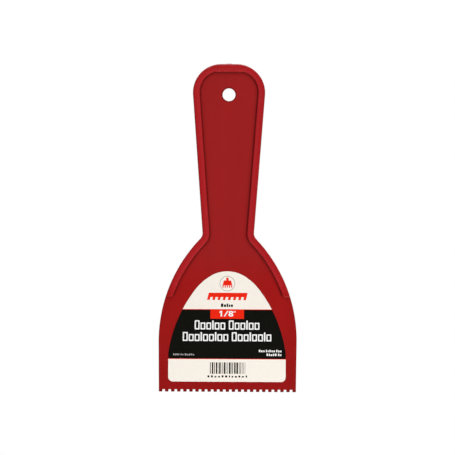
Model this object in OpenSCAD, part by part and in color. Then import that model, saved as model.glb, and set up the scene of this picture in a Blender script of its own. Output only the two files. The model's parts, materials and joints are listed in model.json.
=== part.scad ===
// Square-notch adhesive spreader: a one-piece moulded plastic trowel with a stuck-on label.
// The origin is the centre of the hanging hole. +Z points up to the top of the handle,
// -Y is the labelled face, and X runs across the blade. All sizes are in millimetres.

/* [Handle] */
// Height of the handle's top above the centre of the hanging hole
top_rise = 22.7; // [19:0.1:26]
// Full width of the rounded head
head_w = 53.6; // [50:0.1:58]
// Radius of the head's two corners
head_r = 21.1; // [16:0.1:24]
// Slope of each long side, in degrees
side_taper = 4.27; // [3.5:0.01:5]
// Radius where a side runs into its shoulder
neck_r = 6; // [3:0.5:10]
// Diameter of the hanging hole, a 3/8 in drill
hole_d = 9.525; // [6:0.025:12]

/* [Blade] */
// Width across the teeth
edge_w = 101.6; // [100.5:0.1:103]
// Width where the shoulders turn into the blade's sides
shoulder_w = 102.4; // [100:0.1:106]
// Radius of each shoulder
shoulder_r = 110; // [104:1:116]
// Depth of the shoulders' foot below the hanging hole
foot_drop = 182.8; // [178:0.1:187]
// Depth of the tooth tips below the hanging hole
tip_drop = 220.4; // [217.5:0.1:226]

/* [Notches] */
// Number of teeth along the edge
tooth_count = 23; // [9:1:23]
// Distance from one notch to the next
notch_pitch = 4.5; // [4:0.05:4.5]
// Width of each notch
notch_w = 2.0; // [1.5:0.01:3]
// Depth of each notch
notch_d = 1.73; // [1:0.01:3]

/* [Thickness] */
// Thickness of the flat web inside the rim
web_t = 2.4; // [2:0.1:3]
// Thickness of the blade at the tooth tips
tip_t = 1.5; // [1:0.1:2]
// Depth below the hanging hole at which the blade starts to get thinner
thin_drop = 152; // [150:1:175]
// Thickness over the rim, which stands proud on both faces
rim_t = 5; // [4:0.1:7]
// Width of the rim
rim_w = 5; // [3:0.1:6]
// Depth below the hanging hole at which the rim ends
rim_end_drop = 149.8; // [140:0.1:152]
// Radius of the inner corner at each end of the rim
rim_end_r = 1.5; // [0.5:0.1:2.5]

/* [Label] */
// Width of the label
label_w = 87.1; // [80:0.1:90]
// Depth of the label's top below the hanging hole
label_top_drop = 131; // [129:0.1:133]
// Depth of the label's bottom edge below the hanging hole
label_bottom_drop = 212.9; // [208:0.1:215]
// Radius of the label's arched top
label_nose_r = 24; // [22:0.5:26]
// Radius of the curve on each side of the top
label_haunch_r = 40; // [38:0.5:42]
// Radius of each long curved side
label_side_r = 101; // [99:1:103]
// Depth of the centre of the curved sides below the hanging hole
label_side_drop = 206; // [204:0.5:208]
// Depth at which the curved sides meet the straight ones
label_straight_drop = 191.9; // [190:0.1:196]
// Radius of the label's two lower corners
label_corner_r = 3.5; // [1:0.1:6]
// Thickness of the printed sheet
label_t = 0.12; // [0.08:0.01:0.3]
// Thickness of the adhesive under the sheet
adhesive_t = 0.05; // [0.02:0.01:0.1]
// Distance of the label's centre line from the blade's centre line
label_shift = -0.4; // [-2:0.1:2]

/* [Hidden] */

// Centre of the head's right corner arc
head_c = [head_w / 2 - head_r, top_rise - head_r];
// Outward normal and downward direction of the right long side
side_n = [cos(side_taper), -sin(side_taper)];
side_u = [-sin(side_taper), -cos(side_taper)];
// Centre of the right shoulder's arc
shoulder_c = [shoulder_w / 2 - shoulder_r, -foot_drop];
// Centre of the right neck fillet, which touches the side and the shoulder from outside
neck_c = on_circle_along(head_c + (head_r + neck_r) * side_n, side_u, shoulder_c, shoulder_r + neck_r);
// Length of the cutting blocks, longer than the whole tool
reach = 260;
// Number of straight pieces in each arc of the label's outline
arc_steps = 12;

// Centres of the three arcs that make the right half of the label's top, from the top down
nose_c = [0, -label_top_drop - label_nose_r];
side_rise = label_side_drop - label_straight_drop;
label_side_x = label_w / 2 - sqrt(pow(label_side_r, 2) - pow(side_rise, 2));
label_side_c = [label_side_x, -label_side_drop];
haunch_c = meet(nose_c, label_haunch_r - label_nose_r, label_side_c, label_side_r - label_haunch_r);
// Points where those arcs touch
nose_end = nose_c + label_nose_r * unit(nose_c - haunch_c);
haunch_end = haunch_c + label_haunch_r * unit(haunch_c - label_side_c);
side_end = [label_w / 2, -label_straight_drop];

function unit(v) = v / norm(v);
function flip(v) = [-v[0], v[1]];
function bearing(v) = atan2(v[1], v[0]);

// First point at distance r from centre c, going from p in direction u
function on_circle_along(p, u, c, r) =
    let (w = p - c, b = w * u)
    p + (-b - sqrt(b * b - w * w + r * r)) * u;

// The lower of the two points at distance ra from a and rb from b
function meet(a, ra, b, rb) =
    let (
        d = norm(b - a),
        along = (ra * ra - rb * rb + d * d) / (2 * d),
        across = sqrt(ra * ra - along * along),
        u = (b - a) / d
    )
    a + along * u + across * [-u[1], u[0]];

// Points along an arc from p towards q, without the last one
function arc_points(c, r, p, q) =
    let (a = bearing(p - c), b = bearing(q - c))
    [for (i = [0:arc_steps - 1]) c + r * [cos(a + (b - a) * i / arc_steps), sin(a + (b - a) * i / arc_steps)]];

// A list of points followed by its mirror image, as one closed outline
function both_sides(right) =
    concat(right, [for (i = [len(right) - 1:-1:0]) flip(right[i])]);

// Stands a flat drawing up, with its second axis along +Z, and makes it solid between two Y levels
module upright(front, back) {
    translate([0, back, 0])
        rotate([90, 0, 0])
            linear_extrude(back - front)
                children();
}

// The part of a disc outside the chord from p to q
module arc_cap(centre, r, p, q) {
    out = unit((p + q) / 2 - centre) * r;
    intersection() {
        translate(centre) circle(r);
        polygon([p, q, q + out, p + out]);
    }
}

// That part of a disc on the right, and its mirror image on the left
module arc_caps(centre, r, p, q) {
    arc_cap(centre, r, p, q);
    arc_cap(flip(centre), r, flip(q), flip(p));
}

// Outline of the moulding down to the teeth, drawn in by d all round the handle
module body_outline(d = 0) {
    head_end = head_c + (head_r - d) * side_n;
    side_end = neck_c - (neck_r + d) * side_n;
    neck_end = shoulder_c + (shoulder_r - d) * unit(neck_c - shoulder_c);
    foot = [shoulder_w / 2 - d, -foot_drop];
    tip = [edge_w / 2 - d, -tip_drop];
    head_top = [head_c[0], top_rise - d];
    difference() {
        union() {
            polygon(both_sides([head_top, head_end, side_end, neck_end, foot, tip]));
            arc_caps(head_c, head_r - d, head_top, head_end);
            arc_caps(shoulder_c, shoulder_r - d, neck_end, foot);
        }
        for (side = [0, 1]) mirror([side, 0]) translate(neck_c) circle(neck_r + d);
    }
}

// The square notches, open at the bottom
module notches() {
    for (i = [1:tooth_count - 1])
        translate([(i - tooth_count / 2) * notch_pitch - notch_w / 2, -tip_drop - notch_d])
            square([notch_w, 2 * notch_d]);
}

// The sharp inner corner that is rounded off at the right end of the rim
module rim_end_corner() {
    inner_r = shoulder_r - rim_w;
    round_z = rim_end_r - rim_end_drop;
    round_x = shoulder_c[0] + sqrt(pow(inner_r + rim_end_r, 2) - pow(round_z + foot_drop, 2));
    corner_x = shoulder_c[0] + sqrt(pow(inner_r, 2) - pow(foot_drop - rim_end_drop, 2));
    round_c = [round_x, round_z];
    difference() {
        polygon([
            shoulder_c + inner_r * unit(round_c - shoulder_c),
            round_c,
            [round_x, -rim_end_drop],
            [corner_x, -rim_end_drop]
        ]);
        translate(round_c) circle(rim_end_r);
    }
}

// The raised border, which runs round the handle and part of the way down both shoulders
module rim_outline() {
    difference() {
        body_outline();
        body_outline(rim_w);
        translate([-reach / 2, -rim_end_drop - reach]) square(reach);
        for (side = [0, 1]) mirror([side, 0]) rim_end_corner();
    }
}

// Side view of the web: a flat front, and a back that slopes in towards the teeth
module web_section() {
    polygon([
        [-web_t / 2, top_rise],
        [-web_t / 2, -tip_drop],
        [tip_t - web_t / 2, -tip_drop],
        [web_t / 2, -thin_drop],
        [web_t / 2, top_rise]
    ]);
}

// Outline of the label: an arch of three radii on each side, straight sides and round lower corners
module label_outline() {
    corner_top = [label_w / 2, label_corner_r - label_bottom_drop];
    corner_end = [label_w / 2 - label_corner_r, -label_bottom_drop];
    corner_c = [corner_end[0], corner_top[1]];
    right = concat(
        arc_points(nose_c, label_nose_r, nose_c + [0, label_nose_r], nose_end),
        arc_points(haunch_c, label_haunch_r, nose_end, haunch_end),
        arc_points(label_side_c, label_side_r, haunch_end, side_end),
        [side_end],
        arc_points(corner_c, label_corner_r, corner_top, corner_end),
        [corner_end]
    );
    translate([label_shift, 0]) polygon(both_sides(right));
}

// The whole moulding: handle web, raised rim, shoulders, blade, teeth and hanging hole
module spreader_body() {
    color("#A42024")
    difference() {
        union() {
            intersection() {
                upright(-web_t / 2, web_t / 2) difference() {
                    body_outline();
                    notches();
                }
                rotate([90, 0, 90])
                    linear_extrude(reach, center = true)
                        web_section();
            }
            upright(-rim_t / 2, rim_t / 2) rim_outline();
        }
        rotate([90, 0, 0]) cylinder(d = hole_d, h = 2 * rim_t, center = true, $fn = 64);
    }
}

// The printed sheet, cut to an arch
module label_sheet() {
    color("#F3ECE2")
    upright(-web_t / 2 - adhesive_t - label_t, -web_t / 2 - adhesive_t) label_outline();
}

// The adhesive that holds the sheet on the blade
module label_adhesive() {
    color("#D9D2BE")
    upright(-web_t / 2 - adhesive_t, -web_t / 2) label_outline();
}

spreader_body();
label_sheet();
label_adhesive();
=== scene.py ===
# Looks of the square-notch adhesive spreader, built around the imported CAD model.
# Lengths are in metres, in the CAD frame: the origin is the centre of the hanging hole,
# +Z points up the handle, -Y is the labelled face and X runs across the blade. Only the print
# on the label is laid out in millimetres, from the label's middle and top.

import json
import math
import random

import bmesh
import bpy
from mathutils import Matrix, Vector
from mathutils.geometry import delaunay_2d_cdt


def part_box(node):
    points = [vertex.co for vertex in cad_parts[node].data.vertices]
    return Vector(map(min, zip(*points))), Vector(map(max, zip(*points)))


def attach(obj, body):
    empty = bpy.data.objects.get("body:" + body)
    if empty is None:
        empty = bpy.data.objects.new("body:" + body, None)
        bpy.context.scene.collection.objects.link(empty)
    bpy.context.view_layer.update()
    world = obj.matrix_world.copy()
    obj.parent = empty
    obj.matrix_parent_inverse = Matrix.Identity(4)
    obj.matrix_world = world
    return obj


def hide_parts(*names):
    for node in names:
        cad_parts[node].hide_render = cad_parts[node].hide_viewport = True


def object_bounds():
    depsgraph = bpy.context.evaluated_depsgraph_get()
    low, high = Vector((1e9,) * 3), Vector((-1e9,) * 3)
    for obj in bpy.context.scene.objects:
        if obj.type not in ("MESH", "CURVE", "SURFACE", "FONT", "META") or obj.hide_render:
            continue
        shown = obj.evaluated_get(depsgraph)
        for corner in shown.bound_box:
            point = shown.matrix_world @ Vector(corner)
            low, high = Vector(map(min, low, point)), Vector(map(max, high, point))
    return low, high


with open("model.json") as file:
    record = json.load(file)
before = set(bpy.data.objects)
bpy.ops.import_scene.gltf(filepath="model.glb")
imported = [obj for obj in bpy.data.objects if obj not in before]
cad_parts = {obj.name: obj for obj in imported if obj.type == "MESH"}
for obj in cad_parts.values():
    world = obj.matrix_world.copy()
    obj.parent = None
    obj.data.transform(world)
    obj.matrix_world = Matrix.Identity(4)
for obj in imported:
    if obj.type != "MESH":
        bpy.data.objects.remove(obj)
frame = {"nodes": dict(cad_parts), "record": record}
cad_low, cad_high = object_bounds()

MM = 0.001


def smooth_step(low, high, value):
    """0 below low, 1 above high, and a smooth S between them."""
    t = min(1.0, max(0.0, (value - low) / (high - low)))
    return t * t * (3 - 2 * t)


def steps(low, high, count):
    """Evenly spaced values from low to high, both included."""
    return [low + (high - low) * i / count for i in range(count + 1)]


# ---------------------------------------------------------------- sizes from the frame

body_low, body_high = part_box("spreader_body")
label_low, label_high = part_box("label_sheet")
hang_hole = next(m for m in frame["record"]["mounts"] if m["name"] == "hang_hole")

HOLE_R = hang_hole["dims"]["r_mm"] * MM
WEB_Y = hang_hole["dims"]["length_mm"] * MM / 2
RIM_Y = body_high.y
TOP_Z = body_high.z
TIP_Z = body_low.z
SHOULDER_HALF = body_high.x

# ---------------------------------------------------------------- sizes of the moulding

# The head's half width and corner radius, and how far the handle's sides lean in below it
HEAD_HALF = 26.8 * MM
HEAD_R = 21.1 * MM
TAPER = math.radians(4.27)
# The neck fillet, the shoulder's arc and the level of its foot, and the toothed edge's half width
NECK_R = 6 * MM
SHOULDER_R = 110 * MM
FOOT_Z = -182.8 * MM
EDGE_HALF = 50.8 * MM

# The teeth and the square notches between them, with slightly rounded corners
TOOTH_COUNT = 23
NOTCH_PITCH = 4.5 * MM
NOTCH_W = 2.0 * MM
NOTCH_D = 1.73 * MM
TOOTH_CORNER_R = 0.38 * MM
NOTCH_CORNER_R = 0.3 * MM

# The rim's width, the level of its ends and the radius of their inner corners
RIM_W = 5.0 * MM
RIM_END_Z = -149.8 * MM
RIM_END_R = 1.5 * MM
# The rim's inner wall leans: it starts this far inside the rim's edge and ends this far outside it
RIM_RAMP_IN = 0.45 * MM
RIM_RAMP_OUT = 0.45 * MM
# The rim is highest here, and falls by this share of its height towards the inner wall
RIM_CREST = 1.8 * MM
RIM_CROWN = 0.16

# The blade's back slopes in from here to the tooth tips
THIN_Z = -152 * MM
TIP_BACK_Y = 0.3 * MM

# Radius of the long edges on the rim, on the blade's sides, along the teeth and round the hole
RIM_EDGE_R = 1.0 * MM
BLADE_EDGE_R = 0.35 * MM
TOOTH_EDGE_R = 0.17 * MM
HOLE_EDGE_R = 0.4 * MM
# From this level down the long edges have the radius of the teeth
TOOTH_EDGE_Z = TIP_Z + 3 * MM
# Width of the narrow flat strip next to each rounded edge, which keeps the flat faces flat in shading
SUPPORT = 0.12 * MM

# The rows of vertices run in from the outline square to it on the handle and the shoulders.
# Between the first two of these levels they turn level, and below the third they are square again
TURN_TOP_Z = -136 * MM
TURN_END_Z = -146 * MM
LEVEL_END_Z = TIP_Z + 4 * MM
# Across the top of the head the rim is wider, and at the head's corners narrower, by these
# shares, between these angles of the outline's normal above level
HEAD_WIDEN = 0.11
HEAD_NARROW = 0.06
HEAD_TOP_TURN = (math.radians(68), math.radians(84))
HEAD_CORNER_TURN = (math.radians(12), math.radians(42))
# Insets of the rows over the rim and down its inner wall, and the level where they stop
RIM_INSETS = steps(1.4 * MM, 4.4 * MM, 5)
RIM_INSETS += steps(4.5 * MM, 5.5 * MM, 12)
RIM_INSETS += steps(5.65 * MM, 8.65 * MM, 10)
RIM_ROWS_END_Z = RIM_END_Z - 2.4 * MM
# The outline has finer samples from this far below the rim's end to this far above it
FINE_BELOW = 1.2 * MM
FINE_ABOVE = 2 * MM
FINE_COUNT = 20
# Samples of the outline that would be closer in level than this are left out
MIN_STEP = 0.05 * MM

# The parting line along the side wall, and the stub that the gate left on top of the head
PARTING_HALF_W = 0.15 * MM
PARTING_RISE = 0.04 * MM
GATE_HALF_W = 2.4 * MM
GATE_FLAT_W = 0.8 * GATE_HALF_W
GATE_HALF_H = 0.8 * MM
GATE_RISE = 0.3 * MM

# Ejector pins leave faint round lines on the back: radius, line width and depth, and x, z of each
PIN_R = 3 * MM
PIN_LINE_W = 0.3 * MM
PIN_DEPTH = 0.05 * MM
PIN_PLACES = [(0, -30), (0, -100), (-34, -166), (34, -166), (-38, -206), (38, -206)]


# ---------------------------------------------------------------- painted light and shade of the plastic
# A tone is 0 on the flat web, 1 where the thick plastic has a painted glow, 2 where it has a
# painted sheen as well, and -1 where a deep crease has painted shade.

# Painted shade in the crease inside the rim: its distance beyond the rim's edge, its width and
# strength, and the share and width of its soft tail on the web
CREASE_OUT = 0.35 * MM
CREASE_W = 0.62 * MM
CREASE_SHADE = 0.93
CREASE_TAIL = 0.24
CREASE_TAIL_W = 2.0 * MM
# How much fainter the crease's painted shade is across the head from this level up, and at the
# rim's ends over these distances
CREASE_TOP_FADE = 0.3
CREASE_TOP_Z = TOP_Z - 0.2 * HEAD_R
CREASE_END_FADE = 0.75
CREASE_END_BELOW = 1 * MM
CREASE_END_ABOVE = 1.5 * MM
# How much of its painted glow the rim loses towards its ends, and over what height
GLOW_END_FADE = 0.7
GLOW_END_H = 14 * MM
# How much painted shade darkens the outer edges on the rim and on the blade's sides, and how wide
# that is
EDGE_SHADE = 0.9
SIDE_SHADE = 0.3
SIDE_SHADE_W = 0.8 * MM
# The web's painted sheen grows from the blade to the handle between these levels
SHEEN_START_Z = -140 * MM
SHEEN_END_Z = -118 * MM
# How much painted shade darkens the tooth tips, and how far up the teeth that reaches
TIP_SHADE = 0.8
TIP_SHADE_H = 1.15 * NOTCH_D
# Round the hanging hole: painted shade on its edge (strength, width) and a painted highlight ring
# (strength, place)
HOLE_SHADE = 0.5
HOLE_SHADE_W = 0.55 * MM
HOLE_GLOW = 0.35
HOLE_GLOW_OUT = 1.9 * MM


# ---------------------------------------------------------------- gathering a mesh

class Shell:
    """Vertices and faces, gathered before they become a mesh.

    Each vertex has a tone, which is painted light or shade. Each face has a look, which is the
    number of its material, and is either shaded as part of a rounded surface or flat.
    """

    def __init__(self):
        self.verts = []
        self.tones = []
        self.faces = []
        self.looks = []
        self.rounded = []

    def add(self, x, y, z, tone=0.0):
        self.verts.append((x, y, z))
        self.tones.append(tone)
        return len(self.verts) - 1

    def face(self, ids, look=0, rounded=True):
        self.faces.append(ids)
        self.looks.append(look)
        self.rounded.append(rounded)

    def band(self, first, second, closed=True):
        """Joins two rows of vertices of the same length with four-sided faces."""
        count = len(first)
        for i in range(count if closed else count - 1):
            j = (i + 1) % count
            self.face((first[i], first[j], second[j], second[i]))

    def fill(self, loops, lines, height, holes=(), look_of=None):
        """Fills the region inside the loops with flat triangles that keep to the loops and lines.

        loops and lines hold vertex numbers. height(x, z) gives the y of any new vertex,
        holes are the loops left open, and look_of(x, z) gives each triangle's look.
        """
        ids = sorted({i for row in list(loops) + list(lines) for i in row})
        place = {i: n for n, i in enumerate(ids)}
        flat = [Vector((self.verts[i][0] / MM, self.verts[i][2] / MM)) for i in ids]
        edges = []
        for row in loops:
            edges += [(place[row[k]], place[row[(k + 1) % len(row)]]) for k in range(len(row))]
        for row in lines:
            edges += [(place[row[k]], place[row[k + 1]]) for k in range(len(row) - 1)]
        points, _, triangles, sources, _, _ = delaunay_2d_cdt(flat, edges, [], 1, 1e-5)
        made = []
        for point, source in zip(points, sources):
            if source:
                made.append(ids[source[0]])
            else:
                x, z = point.x * MM, point.y * MM
                made.append(self.add(x, height(x, z), z))
        hole_outlines = [[(self.verts[i][0], self.verts[i][2]) for i in loop] for loop in holes]
        for triangle in triangles:
            corners = [made[i] for i in triangle]
            if len(set(corners)) < 3:
                continue
            x = sum(self.verts[i][0] for i in corners) / 3
            z = sum(self.verts[i][2] for i in corners) / 3
            if any(inside(outline, x, z) for outline in hole_outlines):
                continue
            self.face(corners, look_of(x, z) if look_of else 0, rounded=False)

    def build(self, name, materials, smooth=True):
        """Makes the mesh object, with its faces turned outwards and its tones as an attribute."""
        mesh = bpy.data.meshes.new(name)
        mesh.from_pydata(self.verts, [], self.faces)
        for material in materials:
            mesh.materials.append(material)
        for polygon, look, rounded in zip(mesh.polygons, self.looks, self.rounded):
            polygon.material_index = look
            polygon.use_smooth = smooth and rounded
        work = bmesh.new()
        work.from_mesh(mesh)
        bmesh.ops.recalc_face_normals(work, faces=work.faces)
        work.to_mesh(mesh)
        work.free()
        if any(self.tones):
            mesh.attributes.new("tone", "FLOAT", "POINT").data.foreach_set("value", self.tones)
        piece = bpy.data.objects.new(name, mesh)
        bpy.context.scene.collection.objects.link(piece)
        return piece


def inside(outline, x, z):
    """Whether a point is inside a closed outline."""
    found = False
    for k, (ax, az) in enumerate(outline):
        bx, bz = outline[k - 1]
        if (az > z) != (bz > z) and x < ax + (z - az) * (bx - ax) / (bz - az):
            found = not found
    return found


# ---------------------------------------------------------------- outline of the moulding
# A sample of the outline is (x, z, angle): a point and the direction of its outward normal.
# The right half runs from the middle of the head down to the middle tooth.

HEAD_C = (HEAD_HALF - HEAD_R, TOP_Z - HEAD_R)
SHOULDER_C = (SHOULDER_HALF - SHOULDER_R, FOOT_Z)


def neck_centre():
    """Centre of the neck fillet, which touches the long side and the shoulder from outside."""
    normal = Vector((math.cos(TAPER), -math.sin(TAPER)))
    down = Vector((-math.sin(TAPER), -math.cos(TAPER)))
    start = Vector(HEAD_C) + (HEAD_R + NECK_R) * normal
    w = start - Vector(SHOULDER_C)
    b = w.dot(down)
    return start + (-b - math.sqrt(b * b - w.dot(w) + (SHOULDER_R + NECK_R) ** 2)) * down


def arc(centre, radius, angles):
    """Samples of an arc that bulges out of the body, or into it when its radius is negative."""
    return [(centre[0] + radius * math.cos(a), centre[1] + radius * math.sin(a), a) for a in angles]


def rounded_corners(corners, radii, count=4):
    """Samples along a line of straight pieces whose inner corners are rounded."""
    points = [Vector(p) for p in corners]
    made = []
    for k in range(1, len(points) - 1):
        before = (points[k] - points[k - 1]).normalized()
        after = (points[k + 1] - points[k]).normalized()
        start = math.atan2(before.x, -before.y)
        turn = math.atan2(before.x * after.y - before.y * after.x, before.dot(after))
        radius = math.copysign(radii[k], -turn)
        touch = points[k] - before * radii[k] * math.tan(abs(turn) / 2)
        centre = touch - radius * Vector((math.cos(start), math.sin(start)))
        made += arc(centre, radius, steps(start, start + turn, count))
    return made


def tooth_corners():
    """Corners of the right half of the notched edge, from the blade's side to the middle tooth."""
    corners = [(SHOULDER_HALF, FOOT_Z), (EDGE_HALF, TIP_Z)]
    for k in range(TOOTH_COUNT // 2, 0, -1):
        centre = (k - 0.5) * NOTCH_PITCH
        near, far = centre - NOTCH_W / 2, centre + NOTCH_W / 2
        corners += [(far, TIP_Z), (far, TIP_Z + NOTCH_D), (near, TIP_Z + NOTCH_D), (near, TIP_Z)]
    return corners + [(0, TIP_Z)]


def shoulder_angles(neck_angle):
    """Angles of the samples on the shoulder's arc, from the neck down to the arc's foot.

    They are closer together where the rim ends and where the rows of vertices turn level,
    and one of them is where the blade's back starts to slope.
    """
    levels = [FOOT_Z + SHOULDER_R * math.sin(a) for a in steps(neck_angle, 0, 30)[1:]]
    levels += steps(RIM_END_Z - FINE_BELOW, RIM_END_Z + FINE_ABOVE, FINE_COUNT)
    levels += steps(TURN_END_Z, TURN_TOP_Z, FINE_COUNT)
    levels.append(THIN_Z)
    levels = sorted(set(levels), reverse=True)
    kept = levels[:1]
    for above, z in zip(levels, levels[1:]):
        if above - z > MIN_STEP or z == THIN_Z:
            kept.append(z)
    return [math.asin((z - FOOT_Z) / SHOULDER_R) for z in kept]


def right_outline():
    """Samples of the right half of the outline."""
    neck = neck_centre()
    neck_angle = math.atan2(neck.y - SHOULDER_C[1], neck.x - SHOULDER_C[0])
    made = [(x, TOP_Z, math.pi / 2) for x in steps(0, HEAD_C[0], 12)[:-1]]
    made += arc(HEAD_C, HEAD_R, steps(math.pi / 2, -TAPER, 40))
    made += arc(neck, -NECK_R, steps(-TAPER, neck_angle, 12))
    made += arc(SHOULDER_C, SHOULDER_R, shoulder_angles(neck_angle))
    notch_radii = [TOOTH_CORNER_R, NOTCH_CORNER_R, NOTCH_CORNER_R, TOOTH_CORNER_R]
    radii = [0, TOOTH_CORNER_R] + notch_radii * (TOOTH_COUNT // 2) + [0]
    made += rounded_corners(tooth_corners(), radii)
    made.append((0, TIP_Z, -math.pi / 2))
    return made


def whole_outline():
    """Samples of the closed outline, clockwise from the middle of the head."""
    right = right_outline()
    left = [(-x, z, math.pi - a) for x, z, a in right[1:-1]]
    return right + left[::-1]


def inward(x, z, angle):
    """Direction in which the rows of vertices run in from the outline, for one unit of inset."""
    side = 1 if x >= 0 else -1
    tilt = angle if side > 0 else math.pi - angle
    if z > 0:
        top = smooth_step(*HEAD_TOP_TURN, tilt)
        corner = smooth_step(*HEAD_CORNER_TURN, tilt) * (1 - top)
        width = 1 + HEAD_WIDEN * top - HEAD_NARROW * corner
        return -width * math.cos(angle), -width * math.sin(angle)
    level = smooth_step(-TURN_TOP_Z, -TURN_END_Z, -z) if z > LEVEL_END_Z else 0
    turned = tilt * (1 - level)
    scale = 1 / math.cos(tilt - turned)
    return -side * math.cos(turned) * scale, -math.sin(turned) * scale


# ---------------------------------------------------------------- heights of the moulding

def depth_in_rim(inset, z):
    """Distance from the rim's inner edge or its end, positive on the rim and negative beyond it."""
    from_side, from_end, corner = RIM_W - inset, z - RIM_END_Z, RIM_END_R
    if from_side < corner and from_end < corner:
        return corner - math.hypot(corner - from_side, corner - from_end)
    return min(from_side, from_end)


def rim_share(inset, z):
    """How much of the rim's height stands at this inset and level: 1 at its crest, 0 on the web."""
    fall = max(0.0, inset - RIM_CREST) / (RIM_W - RIM_CREST)
    raised = smooth_step(-RIM_RAMP_OUT, RIM_RAMP_IN, depth_in_rim(inset, z))
    return raised * (1 - RIM_CROWN * fall * fall)


def rim_painted_light(inset, z):
    """Painted light and shade on the plastic at this inset and level.

    The rim's outer half has a painted glow and its inner half a painted sheen; painted shade lies in
    the crease just inside the rim, on the outer edges and along the blade's sides.
    """
    depth = depth_in_rim(inset, z)
    raised = smooth_step(-RIM_RAMP_OUT, RIM_RAMP_IN, depth)
    glow = 1 + smooth_step(RIM_CREST, RIM_W - 3 * RIM_RAMP_IN, inset)
    glow -= EDGE_SHADE * (1 - smooth_step(0, RIM_CREST, inset))
    glow *= 1 - GLOW_END_FADE * (1 - smooth_step(RIM_END_Z, RIM_END_Z + GLOW_END_H, z))
    away = -depth - CREASE_OUT
    tail_width = CREASE_TAIL_W if away > 0 else CREASE_W
    crease = (1 - CREASE_TAIL) * math.exp(-(away / CREASE_W) ** 2)
    crease += CREASE_TAIL * math.exp(-(away / tail_width) ** 2)
    crease *= 1 - CREASE_TOP_FADE * smooth_step(CREASE_TOP_Z, TOP_Z, z)
    above_end = smooth_step(RIM_END_Z - CREASE_END_BELOW, RIM_END_Z + CREASE_END_ABOVE, z)
    crease *= 1 - CREASE_END_FADE * (1 - above_end)
    side = SIDE_SHADE * (1 - smooth_step(0, SIDE_SHADE_W, inset)) * (1 - raised)
    return glow * raised - CREASE_SHADE * crease - side


def web_back(z):
    """Y of the web's back face, which slopes in towards the teeth."""
    return WEB_Y + (TIP_BACK_Y - WEB_Y) * max(0.0, (THIN_Z - z) / (THIN_Z - TIP_Z))


def edge_radius(z, share):
    """Radius of the long edges at this level."""
    if z > FOOT_Z:
        return BLADE_EDGE_R + (RIM_EDGE_R - BLADE_EDGE_R) * share
    along = min(1.0, (FOOT_Z - z) / (FOOT_Z - TOOTH_EDGE_Z))
    return BLADE_EDGE_R + (TOOTH_EDGE_R - BLADE_EDGE_R) * along


def face_y(back, z, share):
    """Y of the front or back face."""
    if back:
        return web_back(z) + (RIM_Y - WEB_Y) * share
    return -WEB_Y - (RIM_Y - WEB_Y) * share


def rounded_edge(radius):
    """Inset and drop of each row of vertices over a rounded edge, from the side to the face."""
    turns = steps(0, math.pi / 2, 5)
    rows = [(radius * (1 - math.cos(a)), radius * (1 - math.sin(a))) for a in turns]
    return rows + [(radius + SUPPORT, 0)]


# ---------------------------------------------------------------- the moulding

def moulding_side(shell, outline, back):
    """Adds the front or back of the moulding's border, and returns its rows of vertex numbers.

    Each row holds the vertices at one sample, from the side wall inwards. Rows above the
    rim's ends go on over the rim to the web.
    """
    sign = 1 if back else -1
    rows = []
    for x, z, angle in outline:
        ux, uz = inward(x, z, angle)
        share = rim_share(0, z)
        radius = edge_radius(z, share)
        row = []
        for inset, drop in rounded_edge(radius):
            y = face_y(back, z + uz * inset, share) - sign * drop
            row.append(shell.add(x + ux * inset, y, z + uz * inset, rim_painted_light(inset, z)))
        if z > RIM_ROWS_END_Z:
            for inset in RIM_INSETS:
                vx, vz = x + ux * inset, z + uz * inset
                y = face_y(back, vz, rim_share(inset, z))
                row.append(shell.add(vx, y, vz, rim_painted_light(inset, z)))
        rows.append(row)
    for k, row in enumerate(rows):
        following = rows[(k + 1) % len(rows)]
        for j in range(min(len(row), len(following)) - 1):
            shell.face((row[j], following[j], following[j + 1], row[j + 1]))
    return rows


def inner_loop(rows):
    """The vertices round the inside of the border, where the flat web starts."""
    loop = []
    for k, row in enumerate(rows):
        before, after = rows[k - 1], rows[(k + 1) % len(rows)]
        if len(before) < len(row):
            loop += row[len(before) - 1:-1]
        loop.append(row[-1])
        if len(after) < len(row):
            loop += row[len(after) - 1:-1][::-1]
    return loop


def moulding_wall(shell, outline, front, rear):
    """Adds the side wall, with its fine parting line and the stub left by the gate on top."""
    rows = []
    for k, (x, z, angle) in enumerate(outline):
        low, high = shell.verts[front[k][0]][1], shell.verts[rear[k][0]][1]
        middle = (low + high) / 2
        gate = 1 - smooth_step(GATE_FLAT_W, GATE_HALF_W, abs(x)) if z > 0 else 0
        half = PARTING_HALF_W + (GATE_HALF_H - PARTING_HALF_W) * gate
        levels = [
            (low + SUPPORT, 0),
            (middle - half - SUPPORT, 0),
            (middle - half, GATE_RISE * gate),
            (middle, PARTING_RISE + GATE_RISE * gate),
            (middle + half, GATE_RISE * gate),
            (middle + half + SUPPORT, 0),
            (high - SUPPORT, 0),
        ]
        if high - low < 2 * (half + 2 * SUPPORT):
            # Too thin for a parting line: as many levels, evenly spaced
            levels = [(y, 0) for y in steps(low, high, len(levels) + 1)[1:-1]]
        nx, nz = math.cos(angle), math.sin(angle)
        row = [shell.add(x + nx * out, y, z + nz * out, rim_painted_light(0, z)) for y, out in levels]
        rows.append([front[k][0]] + row + [rear[k][0]])
    for j in range(len(rows[0]) - 1):
        shell.band([row[j] for row in rows], [row[j + 1] for row in rows])


def ring(shell, centre, radius, y_of, count=64, tone=0.0):
    """Adds a circle of vertices round a point (x, z)."""
    made = []
    for k in range(count):
        a = 2 * math.pi * k / count
        x, z = centre[0] + radius * math.cos(a), centre[1] + radius * math.sin(a)
        made.append(shell.add(x, y_of(x, z), z, tone))
    return made


def hole_painted_light(out):
    """Painted shade on the hole's edge, inside a faint painted highlight ring, at this distance."""
    dark = math.exp(-(max(0.0, out - HOLE_SHADE_W) / HOLE_SHADE_W) ** 2)
    glow = math.exp(-((out - HOLE_GLOW_OUT) / HOLE_SHADE_W) ** 2)
    return HOLE_GLOW * glow - HOLE_SHADE * dark


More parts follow.
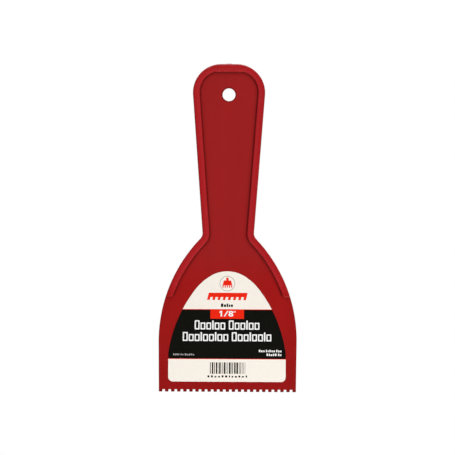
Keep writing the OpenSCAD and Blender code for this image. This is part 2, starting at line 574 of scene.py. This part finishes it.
def hanging_hole(shell):
    """Adds the bore with its rounded edges, and returns the outer ring on the front and the back."""
    edge = rounded_edge(HOLE_EDGE_R)
    edge += [(out, 0) for out in steps(2 * HOLE_EDGE_R, HOLE_GLOW_OUT + 2 * HOLE_SHADE_W, 8)]
    bore = WEB_Y - HOLE_EDGE_R - SUPPORT
    places = [(out, -WEB_Y + drop) for out, drop in edge[::-1]]
    places += [(0, -bore), (0, bore)]
    places += [(out, WEB_Y - drop) for out, drop in edge]
    rings = []
    for out, y in places:
        rings.append(ring(shell, (0, 0), HOLE_R + out, lambda x, z: y, tone=hole_painted_light(out)))
    for first, second in zip(rings, rings[1:]):
        shell.band(first, second)
    return rings[0], rings[-1]


def pin_marks(shell):
    """Adds the rings of the ejector marks on the back, each one a fine round groove."""
    loops = []
    for px, pz in PIN_PLACES:
        centre = (px * MM, pz * MM)
        half = PIN_LINE_W / 2
        for radius, depth in [(PIN_R + half, 0), (PIN_R, PIN_DEPTH), (PIN_R - half, 0)]:
            loops.append(ring(shell, centre, radius, lambda x, z: web_back(z) - depth, 40))
    return loops


def build_moulding(material):
    """The whole plastic moulding: rimmed handle, shoulders, blade and teeth."""
    shell = Shell()
    outline = whole_outline()
    front = moulding_side(shell, outline, back=False)
    rear = moulding_side(shell, outline, back=True)
    moulding_wall(shell, outline, front, rear)
    front_hole, rear_hole = hanging_hole(shell)
    shell.fill([inner_loop(front), front_hole], [], lambda x, z: -WEB_Y, holes=[front_hole])
    bend = [row[-1] for row, sample in zip(rear, outline) if sample[1] == THIN_Z]
    loops = [inner_loop(rear), rear_hole] + pin_marks(shell)
    shell.fill(loops, [bend], lambda x, z: web_back(z), holes=[rear_hole])
    return shell.build("spreader_moulding", [material])


# ---------------------------------------------------------------- the label's outline and print

LABEL_HALF = (label_high.x - label_low.x) / 2
LABEL_X = (label_high.x + label_low.x) / 2
LABEL_TOP = label_high.z
LABEL_BOTTOM = label_low.z
LABEL_FRONT = label_low.y
LABEL_REAR = label_high.y

# The label's outline: radii of its rounded top, its haunches and its sides, the level of the
# side arcs' centre and the level where they end, and the radius of its lower corners
LABEL_NOSE_R = 24 * MM
LABEL_HAUNCH_R = 40 * MM
LABEL_SIDE_R = 101 * MM
LABEL_SIDE_Z = -206 * MM
LABEL_STRAIGHT_Z = -191.9 * MM
LABEL_CORNER_R = 3.5 * MM

# Look numbers of the paper and the inks
PAPER, BLACK, ORANGE, WHITE, GREY = range(5)

# The dark panel with its thin coloured edges, in millimetres below the label's top
PANEL_TOP = 28.1
PANEL_BOTTOM = 64.8
PANEL_LINE = 0.38


def meeting_point(a, radius_a, b, radius_b):
    """The lower of the two points at radius_a from a and radius_b from b."""
    apart = (b - a).length
    along = (radius_a ** 2 - radius_b ** 2 + apart ** 2) / (2 * apart)
    across = math.sqrt(radius_a ** 2 - along ** 2)
    way = (b - a) / apart
    return a + along * way + across * Vector((-way.y, way.x))


def label_outline(levels):
    """Points of the label's closed outline, with a point on each side at each of the levels."""
    nose = Vector((0, LABEL_TOP - LABEL_NOSE_R))
    rise = LABEL_STRAIGHT_Z - LABEL_SIDE_Z
    side = Vector((LABEL_HALF - math.sqrt(LABEL_SIDE_R ** 2 - rise ** 2), LABEL_SIDE_Z))
    haunch = meeting_point(nose, LABEL_HAUNCH_R - LABEL_NOSE_R, side, LABEL_SIDE_R - LABEL_HAUNCH_R)
    corner = (LABEL_HALF - LABEL_CORNER_R, LABEL_BOTTOM + LABEL_CORNER_R)
    nose_end = math.atan2(nose.y - haunch.y, nose.x - haunch.x)
    haunch_end = math.atan2(haunch.y - side.y, haunch.x - side.x)
    side_end = math.asin(rise / LABEL_SIDE_R)
    right = arc(nose, LABEL_NOSE_R, steps(math.pi / 2, nose_end, 20))
    right += arc(haunch, LABEL_HAUNCH_R, steps(nose_end, haunch_end, 20)[1:])
    right += arc(side, LABEL_SIDE_R, steps(haunch_end, side_end, 24)[1:])
    right += arc(corner, LABEL_CORNER_R, steps(0, -math.pi / 2, 10))
    right = with_levels([(x, z) for x, z, _ in right], levels)
    left = [(-x, z) for x, z in right[1:]]
    return [(LABEL_X + x, z) for x, z in right + left[::-1]]


def with_levels(points, levels):
    """Adds a point to a falling line of points wherever it crosses one of the levels."""
    made = [points[0]]
    for (ax, az), (bx, bz) in zip(points, points[1:]):
        for level in sorted(levels, reverse=True):
            if bz < level < az:
                made.append((ax + (bx - ax) * (az - level) / (az - bz), level))
        made.append((bx, bz))
    return made


def below_top(distance):
    """Level of a printed item, from its distance in millimetres below the label's top."""
    return LABEL_TOP - distance * MM


def shape(points):
    """A printed outline from points in millimetres from the label's middle and top."""
    return [(LABEL_X + x * MM, below_top(down)) for x, down in points]


def block(x0, x1, top, bottom, radius=0.0, slant=0.0):
    """A printed block with rounded corners, in millimetres from the label's middle and top.

    slant is how far its top leans to the right of its bottom.
    """
    corners = [(x1, top, 90), (x1, bottom, 0), (x0, bottom, -90), (x0, top, -180)]
    made = []
    for x, down, start in corners:
        cx = x - radius if x == x1 else x + radius
        cz = down + radius if down == top else down - radius
        turns = [start] if radius == 0 else steps(start, start - 90, 3)
        for degrees in turns:
            a = math.radians(degrees)
            px, pz = cx + radius * math.cos(a), cz - radius * math.sin(a)
            px += slant * (bottom - pz) / (bottom - top)
            made.append((px, pz))
    return shape(made)


def disc(x, down, radius_x, radius_z=None, count=48):
    """A printed ellipse, in millimetres from the label's middle and top."""
    radius_z = radius_z or radius_x
    turns = steps(0, 2 * math.pi, count)[:-1]
    return shape([(x + radius_x * math.cos(a), down - radius_z * math.sin(a)) for a in turns])


def panel_bands():
    """Level bands right across the label: top, bottom and ink of each."""
    return [
        (PANEL_TOP, PANEL_TOP + PANEL_LINE, ORANGE),
        (PANEL_TOP + PANEL_LINE, PANEL_BOTTOM, BLACK),
        (PANEL_BOTTOM, PANEL_BOTTOM + PANEL_LINE, ORANGE),
    ]


def emblem():
    """A thin ring round a small picture of a toothed spreader."""
    down, ring_r, ring_w = 9.1, 5.7, 0.4
    grip_half, grip_top = 0.9, down - 4.4
    top_half, top = 2.7, down - 2.3
    half, root, tip, teeth = 3.6, down + 1.2, down + 3.0, 5
    pitch = 2 * half / (2 * teeth - 1)
    blade = [(-top_half, top), (top_half, top), (half, root)]
    for k in range(teeth):
        right = half - 2 * k * pitch
        blade += [(right, tip), (right - pitch, tip)]
        if k < teeth - 1:
            blade += [(right - pitch, root), (right - 2 * pitch, root)]
    blade.append((-half, root))
    return [
        (disc(0, down, ring_r), GREY),
        (disc(0, down, ring_r - ring_w), PAPER),
        (shape(blade), ORANGE),
        (block(-grip_half, grip_half, grip_top, top + 0.1), ORANGE),
    ]


def brand_bar():
    """A slanted bar with square notches, which stands where a name would be."""
    top, bottom, half, lean, corner_r = 15.9, 21.3, 14.4, 1.3, 0.4
    notches, notch_top, notch_bottom, notch_lean = 7, bottom - 2.2, bottom + 0.1, 0.42 * lean
    start = -half - lean / 2
    made = [(block(start, start + 2 * half, top, bottom, corner_r, lean), ORANGE)]
    pitch = 2 * half / (2 * notches + 1)
    for k in range(notches):
        left = start + (2 * k + 1) * pitch
        notch = block(left, left + pitch, notch_top, notch_bottom, slant=notch_lean)
        made.append((notch, PAPER))
    return made


def tiny_blocks(x0, x1, top, bottom, words, ink, seed, gap):
    """A row of small blocks in groups, which stands for a line of small print.

    The first block of each group is tall, and about a third of the others are.
    """
    space, low_drop, corner_r = 0.9, 0.28 * (bottom - top), 0.12
    pick = random.Random(seed)
    widths = [[pick.uniform(0.7, 1.2) for _ in range(count)] for count in words]
    total = sum(map(sum, widths)) + space * (len(words) - 1)
    scale = (x1 - x0 - gap * sum(count - 1 for count in words)) / total
    made = []
    x = x0
    for group in widths:
        for k, width in enumerate(group):
            tall = pick.random() < 0.35 or k == 0
            high = top if tall else top + low_drop
            made.append((block(x, x + width * scale, high, bottom, corner_r), ink))
            x += width * scale + (gap if k < len(group) - 1 else space * scale)
    return made


def heading(x0, x1, base, tall, low, words):
    """A line of bold framed blocks in groups, which stands for a heading.

    The first block of each group is tall, and every third one after it is a tall narrow bar.
    """
    wide, thin, gap, space = 3.1, 0.95, 0.7, 2.6
    stroke, outer_r, inner_r = 0.92, 0.45, 0.3
    bars = sum((count - 1) // 3 for count in words)
    blocks = sum(words) - bars
    gaps = gap * sum(count - 1 for count in words) + space * (len(words) - 1)
    scale = (x1 - x0 - gaps) / (blocks * wide + bars * thin)
    made = []
    x = x0
    for count in words:
        for k in range(count):
            narrow = k > 0 and k % 3 == 0
            right = x + (thin if narrow else wide) * scale
            top = base - (tall if narrow or k == 0 else low)
            made.append((block(x, right, top, base, outer_r), WHITE))
            if not narrow:
                hollow = block(x + stroke, right - stroke, top + stroke, base - stroke, inner_r)
                made.append((hollow, BLACK))
            x = right + (gap if k < count - 1 else space)
    return made


def size_mark():
    """The size box with 1/8 inch in it, built from plain strokes."""
    box_left, box_right, box_bottom = -12.5, 12.4, 35.2
    top, bottom = 29.3, 33.5
    one_left, one_right, flag_left = -4.9, -3.8, -5.9
    one = [(one_left, top), (one_right, top), (one_right, bottom), (one_left, bottom)]
    one += [(one_left, top + 1.25), (flag_left, top + 1.5), (flag_left, top + 0.8)]
    eight, upper, lower = 2.7, top + 1.08, bottom - 1.18
    tick_bottom = (top + bottom) / 2 - 0.8
    return [
        (block(box_left, box_right, PANEL_TOP, box_bottom), ORANGE),
        (shape(one), WHITE),
        (block(-2.6, -1.6, top, bottom, slant=2.5), WHITE),
        (disc(eight, upper, 1.65, 1.12, 24), WHITE),
        (disc(eight, lower, 1.85, 1.22, 24), WHITE),
        (disc(eight, upper + 0.02, 0.62, 0.42, 16), ORANGE),
        (disc(eight, lower, 0.72, 0.48, 16), ORANGE),
        (block(4.7, 5.2, top, tick_bottom, 0.1), WHITE),
        (block(5.6, 6.1, top, tick_bottom, 0.1), WHITE),
    ]


def bar_code():
    """Plain bars of mixed width that carry no code, over a row of tiny blocks."""
    pick = random.Random(11)
    module = 0.275
    left, right, top, bottom = -12.6, 13.5, 67.5, 76.0
    made = []
    x = left
    while x < right - 3 * module:
        width = module * pick.choice([1, 1, 1, 2, 2, 3, 4])
        made.append((block(x, min(x + width, right), top, bottom), BLACK))
        x += width + module * pick.choice([1, 1, 2, 2, 3])
    made.append((block(right - module, right, top, bottom), BLACK))
    return made + tiny_blocks(-14.4, 14.9, 77.2, 78.7, words=[1, 5, 5, 1], ink=BLACK, seed=5, gap=1.1)


def printed_shapes():
    """Every printed shape on the label with its ink, in the order in which they are laid down."""
    made = emblem() + brand_bar() + size_mark() + bar_code()
    made += tiny_blocks(-4.7, 4.2, 23.9, 26.4, words=[5], ink=BLACK, seed=2, gap=0.4)
    made += heading(-24.1, 23.9, base=43.2, tall=6.8, low=5.2, words=[6, 6])
    made += heading(-32.9, 32.8, base=51.8, tall=6.7, low=5.2, words=[9, 8])
    made += tiny_blocks(-40.0, -24.4, 61.1, 62.4, words=[4, 2, 5], ink=GREY, seed=4, gap=0.4)
    made += tiny_blocks(23.6, 40.3, 58.0, 59.8, words=[3, 5, 3], ink=WHITE, seed=6, gap=0.5)
    made += tiny_blocks(29.3, 40.3, 60.9, 62.6, words=[5, 2], ink=WHITE, seed=7, gap=0.5)
    return made


def build_label(materials):
    """The printed sheet as one thin solid, whose front is divided along the edges of the print."""
    shell = Shell()
    bands = panel_bands()
    levels = sorted({below_top(d) for band in bands for d in band[:2]})
    outline = label_outline(levels)
    front = [shell.add(x, LABEL_FRONT, z) for x, z in outline]
    rear = [shell.add(x, LABEL_REAR, z) for x, z in outline]
    shell.band(front, rear)
    shapes = printed_shapes()
    loops = [[shell.add(x, LABEL_FRONT, z) for x, z in points] for points, _ in shapes]
    lines = [[i for i in front if abs(shell.verts[i][2] - level) < 1e-9] for level in levels]
    boxes = []
    for points, ink in shapes:
        xs, zs = [p[0] for p in points], [p[1] for p in points]
        boxes.append((min(xs), max(xs), min(zs), max(zs), points, ink))

    def ink_at(x, z):
        """The ink of the last thing printed at this point."""
        found = PAPER
        for top, bottom, ink in bands:
            if below_top(bottom) < z < below_top(top):
                found = ink
        for x0, x1, z0, z1, points, ink in boxes:
            if x0 <= x <= x1 and z0 <= z <= z1 and inside(points, x, z):
                found = ink
        return found

    shell.fill([front] + loops, lines, lambda x, z: LABEL_FRONT, look_of=ink_at)
    shell.fill([rear], [], lambda x, z: LABEL_REAR)
    return shell.build("printed_label", materials, smooth=False)


# ---------------------------------------------------------------- materials

def new_material(name):
    """A material with its shader, its nodes and its links."""
    material = bpy.data.materials.new(name)
    material.use_nodes = True
    nodes, links = material.node_tree.nodes, material.node_tree.links
    return material, nodes["Principled BSDF"], nodes, links


def noise(nodes, links, scale, detail=4.0, stretch=(1, 1, 1)):
    """Noise over the object's own coordinates, optionally stretched, as a value socket."""
    place = nodes.new("ShaderNodeTexCoord")
    mapping = nodes.new("ShaderNodeMapping")
    mapping.inputs["Scale"].default_value = stretch
    texture = nodes.new("ShaderNodeTexNoise")
    texture.inputs["Scale"].default_value = scale
    texture.inputs["Detail"].default_value = detail
    links.new(place.outputs["Object"], mapping.inputs["Vector"])
    links.new(mapping.outputs["Vector"], texture.inputs["Vector"])
    return texture.outputs["Fac"]


def map_range(nodes, links, source, low, high, from_low=0.3, from_high=0.7):
    """Maps a value onto low to high. Left at its defaults, it spreads the middle of a noise."""
    node = nodes.new("ShaderNodeMapRange")
    node.inputs["From Min"].default_value = from_low
    node.inputs["From Max"].default_value = from_high
    node.inputs["To Min"].default_value = low
    node.inputs["To Max"].default_value = high
    links.new(source, node.inputs["Value"])
    return node.outputs["Result"]


def mix_colour(nodes, links, factor, first, second, blend="MIX"):
    """Mixes two colours, each one a plain colour or a socket."""
    node = nodes.new("ShaderNodeMix")
    node.data_type = "RGBA"
    node.blend_type = blend
    sockets = node.inputs[0], node.inputs[6], node.inputs[7]
    for socket, value in zip(sockets, (factor, first, second)):
        if isinstance(value, bpy.types.NodeSocket):
            links.new(value, socket)
        else:
            socket.default_value = value
    return node.outputs[2]


def bump(nodes, links, shader, height, strength, distance):
    """Raises the surface's fine detail from a height socket."""
    node = nodes.new("ShaderNodeBump")
    node.inputs["Strength"].default_value = strength
    node.inputs["Distance"].default_value = distance
    links.new(height, node.inputs["Height"])
    links.new(node.outputs["Normal"], shader.inputs["Normal"])


def red_plastic():
    """Satin red moulding, coloured by its tones of painted light and shade, with faint flow streaks
    and a fine grain.

    The web has a little more painted sheen on the handle than on the blade, and painted shade darkens
    the tooth tips.
    """
    # Painted light: extra sheen on the handle's web, glow and sheen on the rim, and shade for crease
    # and tips
    handle_web = (0.318, 0.0118, 0.0120, 1)
    blade_web = (0.328, 0.0068, 0.0064, 1)
    rim = (0.385, 0.0095, 0.0125, 1)
    sheen_painted_rim = (0.395, 0.0155, 0.0190, 1)
    crease = (0.078, 0.0015, 0.0015, 1)
    material, shader, nodes, links = new_material("red_plastic")
    attribute = nodes.new("ShaderNodeAttribute")
    attribute.attribute_name = "tone"
    tone = attribute.outputs["Fac"]
    # The tone brings in the rim's painted glow, then its painted sheen, then painted shade
    glow = map_range(nodes, links, tone, 0, 1, 0, 1)
    painted_sheen = map_range(nodes, links, tone, 0, 1, 1, 2)
    shade = map_range(nodes, links, tone, 1, 0, -1, 0)
    place = nodes.new("ShaderNodeTexCoord")
    split = nodes.new("ShaderNodeSeparateXYZ")
    links.new(place.outputs["Object"], split.inputs[0])
    z = split.outputs["Z"]
    # Painted sheen grows up the handle's web, and painted shade darkens the tooth tips
    height = map_range(nodes, links, z, 0, 1, SHEEN_START_Z, SHEEN_END_Z)
    tip = map_range(nodes, links, z, TIP_SHADE, 0, TIP_Z, TIP_Z + TIP_SHADE_H)
    base = mix_colour(nodes, links, height, blade_web, handle_web)
    base = mix_colour(nodes, links, glow, base, rim)
    base = mix_colour(nodes, links, painted_sheen, base, sheen_painted_rim)
    base = mix_colour(nodes, links, shade, base, crease)
    base = mix_colour(nodes, links, tip, base, crease)
    streaks = map_range(nodes, links, noise(nodes, links, 90, 3, (1, 1, 0.12)), 0.965, 1.035)
    grain = map_range(nodes, links, noise(nodes, links, 1400, 2), 0.97, 1.03)
    mottle = nodes.new("ShaderNodeMath")
    mottle.operation = "MULTIPLY"
    links.new(streaks, mottle.inputs[0])
    links.new(grain, mottle.inputs[1])
    base = mix_colour(nodes, links, 1.0, base, mottle.outputs[0], "MULTIPLY")
    links.new(base, shader.inputs["Base Color"])
    roughness = map_range(nodes, links, noise(nodes, links, 260, 4), 0.30, 0.38)
    links.new(roughness, shader.inputs["Roughness"])
    bump(nodes, links, shader, noise(nodes, links, 2600, 3), 0.25, 0.05 * MM)
    shader.inputs["IOR"].default_value = 1.46
    shader.inputs["Specular IOR Level"].default_value = 0.35
    return material


def printed(name, colour, smoothest, roughest):
    """Coated label stock or ink on it: an even colour with a slightly uneven gloss."""
    material, shader, nodes, links = new_material(name)
    shader.inputs["Base Color"].default_value = (*colour, 1)
    roughness = map_range(nodes, links, noise(nodes, links, 420, 5), smoothest, roughest)
    links.new(roughness, shader.inputs["Roughness"])
    bump(nodes, links, shader, noise(nodes, links, 120, 2), 0.02, 0.01 * MM)
    shader.inputs["IOR"].default_value = 1.48
    shader.inputs["Specular IOR Level"].default_value = 0.35
    return material


def label_materials():
    """The paper and the four inks, in the order of their look numbers."""
    return [
        printed("label_paper", (0.885, 0.825, 0.745), 0.25, 0.28),
        printed("label_black", (0.0055, 0.0055, 0.0042), 0.22, 0.26),
        printed("label_orange", (0.80, 0.020, 0.0055), 0.22, 0.26),
        printed("label_white", (0.88, 0.88, 0.86), 0.25, 0.28),
        printed("label_grey", (0.36, 0.34, 0.33), 0.25, 0.28),
    ]


def adhesive():
    """Cloudy clear adhesive, which only shows as a line under the label's edge."""
    material, shader, nodes, links = new_material("label_adhesive")
    cloud = noise(nodes, links, 500, 4)
    base = mix_colour(nodes, links, cloud, (0.62, 0.57, 0.46, 1), (0.74, 0.69, 0.58, 1))
    links.new(base, shader.inputs["Base Color"])
    roughness = map_range(nodes, links, noise(nodes, links, 900, 3), 0.3, 0.5)
    links.new(roughness, shader.inputs["Roughness"])
    shader.inputs["Subsurface Weight"].default_value = 0.2
    shader.inputs["Subsurface Radius"].default_value = (1 * MM, 0.8 * MM, 0.6 * MM)
    return material


def pale_floor():
    """Pale floor that fades to plain white towards its edge."""
    material, shader, nodes, links = new_material("pale_floor")
    mottle = map_range(nodes, links, noise(nodes, links, 3, 3), 0.80, 0.84)
    links.new(mottle, shader.inputs["Base Color"])
    shader.inputs["Roughness"].default_value = 0.9
    shader.inputs["Specular IOR Level"].default_value = 0.1
    glow = nodes.new("ShaderNodeEmission")
    place = nodes.new("ShaderNodeTexCoord")
    length = nodes.new("ShaderNodeVectorMath")
    length.operation = "LENGTH"
    links.new(place.outputs["Object"], length.inputs[0])
    fade = map_range(nodes, links, length.outputs["Value"], 0, 1, FADE_START_R, FADE_END_R)
    mix = nodes.new("ShaderNodeMixShader")
    links.new(fade, mix.inputs[0])
    links.new(shader.outputs[0], mix.inputs[1])
    links.new(glow.outputs[0], mix.inputs[2])
    links.new(mix.outputs[0], nodes["Material Output"].inputs["Surface"])
    return material


# ---------------------------------------------------------------- stage, light and camera

MIDDLE = (Vector(cad_low) + Vector(cad_high)) / 2

# The view frames this width at the object, and is centred this far from the object's middle
VIEW_W = 337.7 * MM
VIEW_OFFSET = (-0.57 * MM, 0.35 * MM)
LENS = 150.0
SENSOR = 36.0
ROLL = math.radians(0.32)

# The floor's depth below the object's middle, its radius, and where it fades to white
FLOOR_DROP = 1.1
FLOOR_R = 2.2
FADE_START_R = 0.35 * FLOOR_R
FADE_END_R = 0.85 * FLOOR_R

# Strength of the even surround as a light, and as seen in reflections
SURROUND = 0.1
SURROUND_GLOSS = 0.02


def make_camera():
    """A long lens straight in front of the object, rolled by a third of a degree."""
    data = bpy.data.cameras.new("camera")
    data.lens = LENS
    data.sensor_width = SENSOR
    data.clip_end = 50
    camera = bpy.data.objects.new("camera", data)
    bpy.context.scene.collection.objects.link(camera)
    place = Vector((MIDDLE.x + VIEW_OFFSET[0], -VIEW_W * LENS / SENSOR, MIDDLE.z + VIEW_OFFSET[1]))
    upright = Matrix.Rotation(math.pi / 2, 4, "X") @ Matrix.Rotation(ROLL, 4, "Z")
    camera.matrix_world = Matrix.Translation(place) @ upright
    bpy.context.scene.camera = camera


def make_floor():
    """A round pale floor, far enough below the object to stay out of the level view."""
    shell = Shell()
    turns = steps(0, 2 * math.pi, 96)[:-1]
    shell.face([shell.add(FLOOR_R * math.cos(a), FLOOR_R * math.sin(a), 0) for a in turns])
    floor = shell.build("floor", [pale_floor()], smooth=False)
    floor.location = (0, 0, MIDDLE.z - FLOOR_DROP)


def area_light(name, azimuth, elevation, distance, size, power, glints=True):
    """A soft square light aimed at the object. Azimuth 0 is straight in front, 90 on the right.

    A light without glints lights the object but doesn't show in its reflections.
    """
    data = bpy.data.lights.new(name, "AREA")
    data.shape = "SQUARE"
    data.size = size
    data.energy = power
    light = bpy.data.objects.new(name, data)
    bpy.context.scene.collection.objects.link(light)
    a, e = math.radians(azimuth), math.radians(elevation)
    way = Vector((math.sin(a) * math.cos(e), -math.cos(a) * math.cos(e), math.sin(e)))
    light.location = MIDDLE + distance * way
    light.rotation_euler = way.to_track_quat("Z", "Y").to_euler()
    light.visible_camera = False
    light.visible_glossy = glints


def make_lights():
    """Soft light from below, above and beside the object, in front of it and behind it."""
    area_light("low_light", 18, -58, distance=1.0, size=0.7, power=8, glints=False)
    area_light("high_light", -12, 60, distance=1.3, size=0.8, power=9)
    area_light("side_light", 64, 0, distance=1.3, size=0.8, power=5.2, glints=False)
    area_light("rear_key_light", 152, 30, distance=1.4, size=0.9, power=11)
    area_light("rear_fill_light", -150, 12, distance=1.4, size=0.9, power=8)
    area_light("top_light", 0, 89, distance=1.8, size=1.6, power=30)


def make_world():
    """White behind the object, and a dim even surround for its reflections and shadows."""
    world = bpy.data.worlds.new("studio")
    bpy.context.scene.world = world
    world.use_nodes = True
    nodes, links = world.node_tree.nodes, world.node_tree.links
    background = nodes["Background"]
    path = nodes.new("ShaderNodeLightPath")
    background.inputs["Color"].default_value = (1, 1, 1, 1)
    dim = nodes.new("ShaderNodeMapRange")
    dim.inputs["To Min"].default_value = SURROUND
    dim.inputs["To Max"].default_value = SURROUND_GLOSS
    links.new(path.outputs["Is Glossy Ray"], dim.inputs["Value"])
    strength = nodes.new("ShaderNodeMix")
    strength.inputs[3].default_value = 1.0
    links.new(path.outputs["Is Camera Ray"], strength.inputs[0])
    links.new(dim.outputs["Result"], strength.inputs[2])
    links.new(strength.outputs[0], background.inputs["Strength"])


# ---------------------------------------------------------------- the scene

make_camera()
make_floor()
make_lights()
make_world()
bpy.context.scene.view_settings.view_transform = "Standard"

moulding = build_moulding(red_plastic())
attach(moulding, "root")
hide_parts("spreader_body")

label = build_label(label_materials())
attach(label, "root")
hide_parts("label_sheet")

adhesive_mesh = frame["nodes"]["label_adhesive"].data
adhesive_mesh.materials.clear()
adhesive_mesh.materials.append(adhesive())
